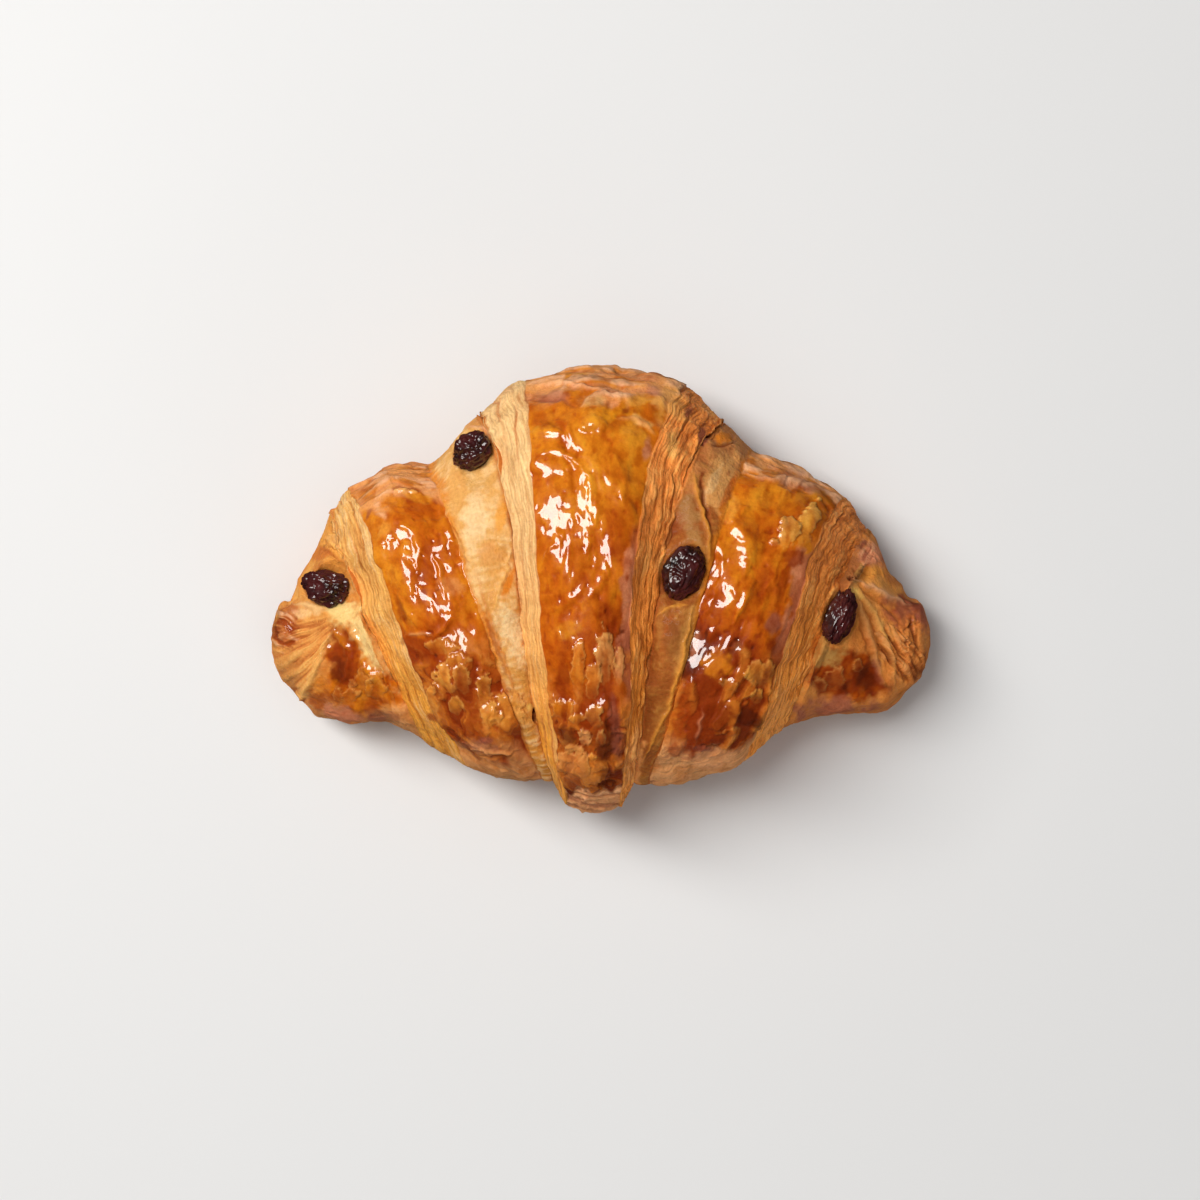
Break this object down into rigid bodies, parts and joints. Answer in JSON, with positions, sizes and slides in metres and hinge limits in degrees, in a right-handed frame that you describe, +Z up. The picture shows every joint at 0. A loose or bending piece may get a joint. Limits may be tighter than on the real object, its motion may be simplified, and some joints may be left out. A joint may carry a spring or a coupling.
{
  "type": "raisin croissant",
  "caption": "Glazed curved croissant with stepped wraps, a blunt tongue at the front, pinched horns and raisins pressed into the steps of the dough; rests on its flat browned base.",
  "frame": {"origin": "centre of the bounding box, on the flat base that the croissant rests on", "axes": "+X along the croissant from horn to horn, +Z up out of its base, -Y is the front, towards which the horns curve and where the outer wrap ends in a tongue"},
  "size_m": [0.1606, 0.1085, 0.0603],
  "materials": {
    "croissant": "baked laminated dough with a glossy egg glaze on the wraps",
    "raisin": "wrinkled, slightly shiny"
  },
  "bodies": {
    "root": {"croissant": "croissant", "raisin_left_end": "raisin", "raisin_left_step": "raisin", "raisin_right_step": "raisin", "raisin_right_end": "raisin"}
  },
  "joints": []
}
